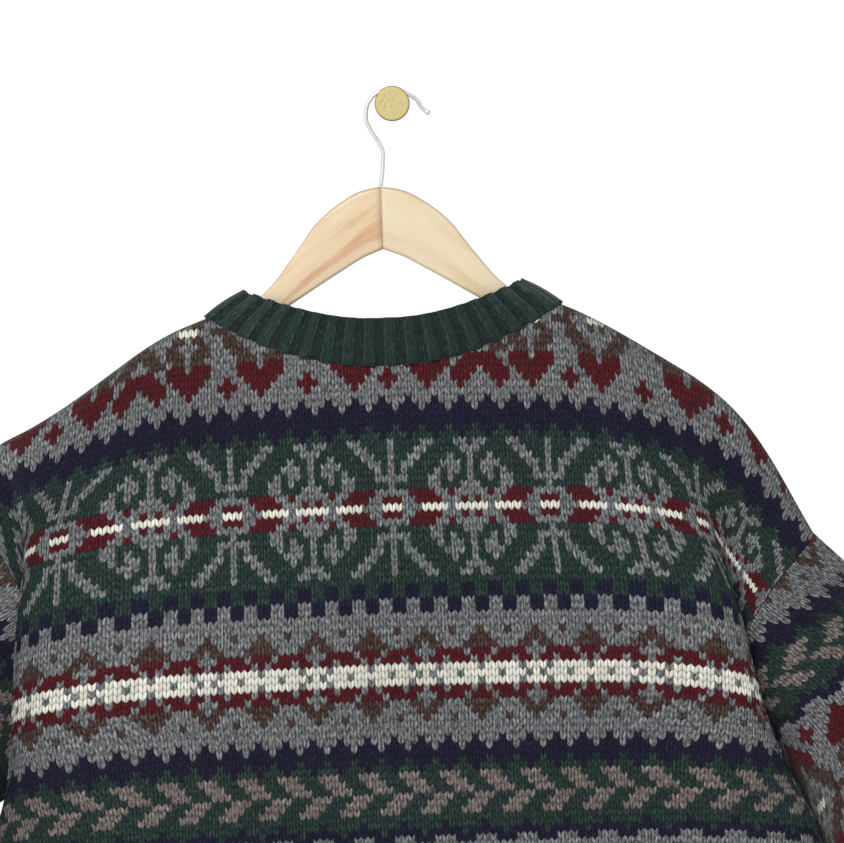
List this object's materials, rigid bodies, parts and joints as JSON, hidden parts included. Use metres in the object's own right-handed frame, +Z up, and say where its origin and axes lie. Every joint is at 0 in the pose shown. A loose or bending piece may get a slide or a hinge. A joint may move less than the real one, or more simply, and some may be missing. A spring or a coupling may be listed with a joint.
{
  "type": "fair isle jumper",
  "caption": "Knitted fair isle jumper with dropped shoulders, crew neck and ribbed edges, on a wooden hanger hooked over a round wall peg.",
  "frame": {"origin": "centre of the peg's flat face that sits on the wall", "axes": "+Z up; +Y into the wall, so the jumper's back faces -Y and the camera of the picture looks along +Y; +X to the picture's right"},
  "size_m": [0.8799, 0.0907, 0.8839],
  "materials": {
    "fair_isle_knit": "woollen stranded knitting in bands of grey, green, navy, maroon, cream and brown, matt and slightly hairy",
    "green_rib": "bottle green marl wool in rib, matt",
    "left_wood": "pale wood with a warmer tone and a reddish streak, satin varnish",
    "right_wood": "pale cream wood, satin varnish",
    "hook_wire": "bright bent wire",
    "peg": "dull pale gold, fine scratches"
  },
  "bodies": {
    "root": {"back_panel": "fair_isle_knit", "front_panel": "fair_isle_knit", "sleeve_left": "fair_isle_knit", "sleeve_right": "fair_isle_knit", "neckband": "green_rib", "back_hem_rib": "green_rib", "front_hem_rib": "green_rib", "cuff_left": "green_rib", "cuff_right": "green_rib", "hanger_arm_left": "left_wood", "hanger_arm_right": "right_wood", "hanger_hook": "hook_wire", "wall_peg": "peg"}
  },
  "joints": []
}
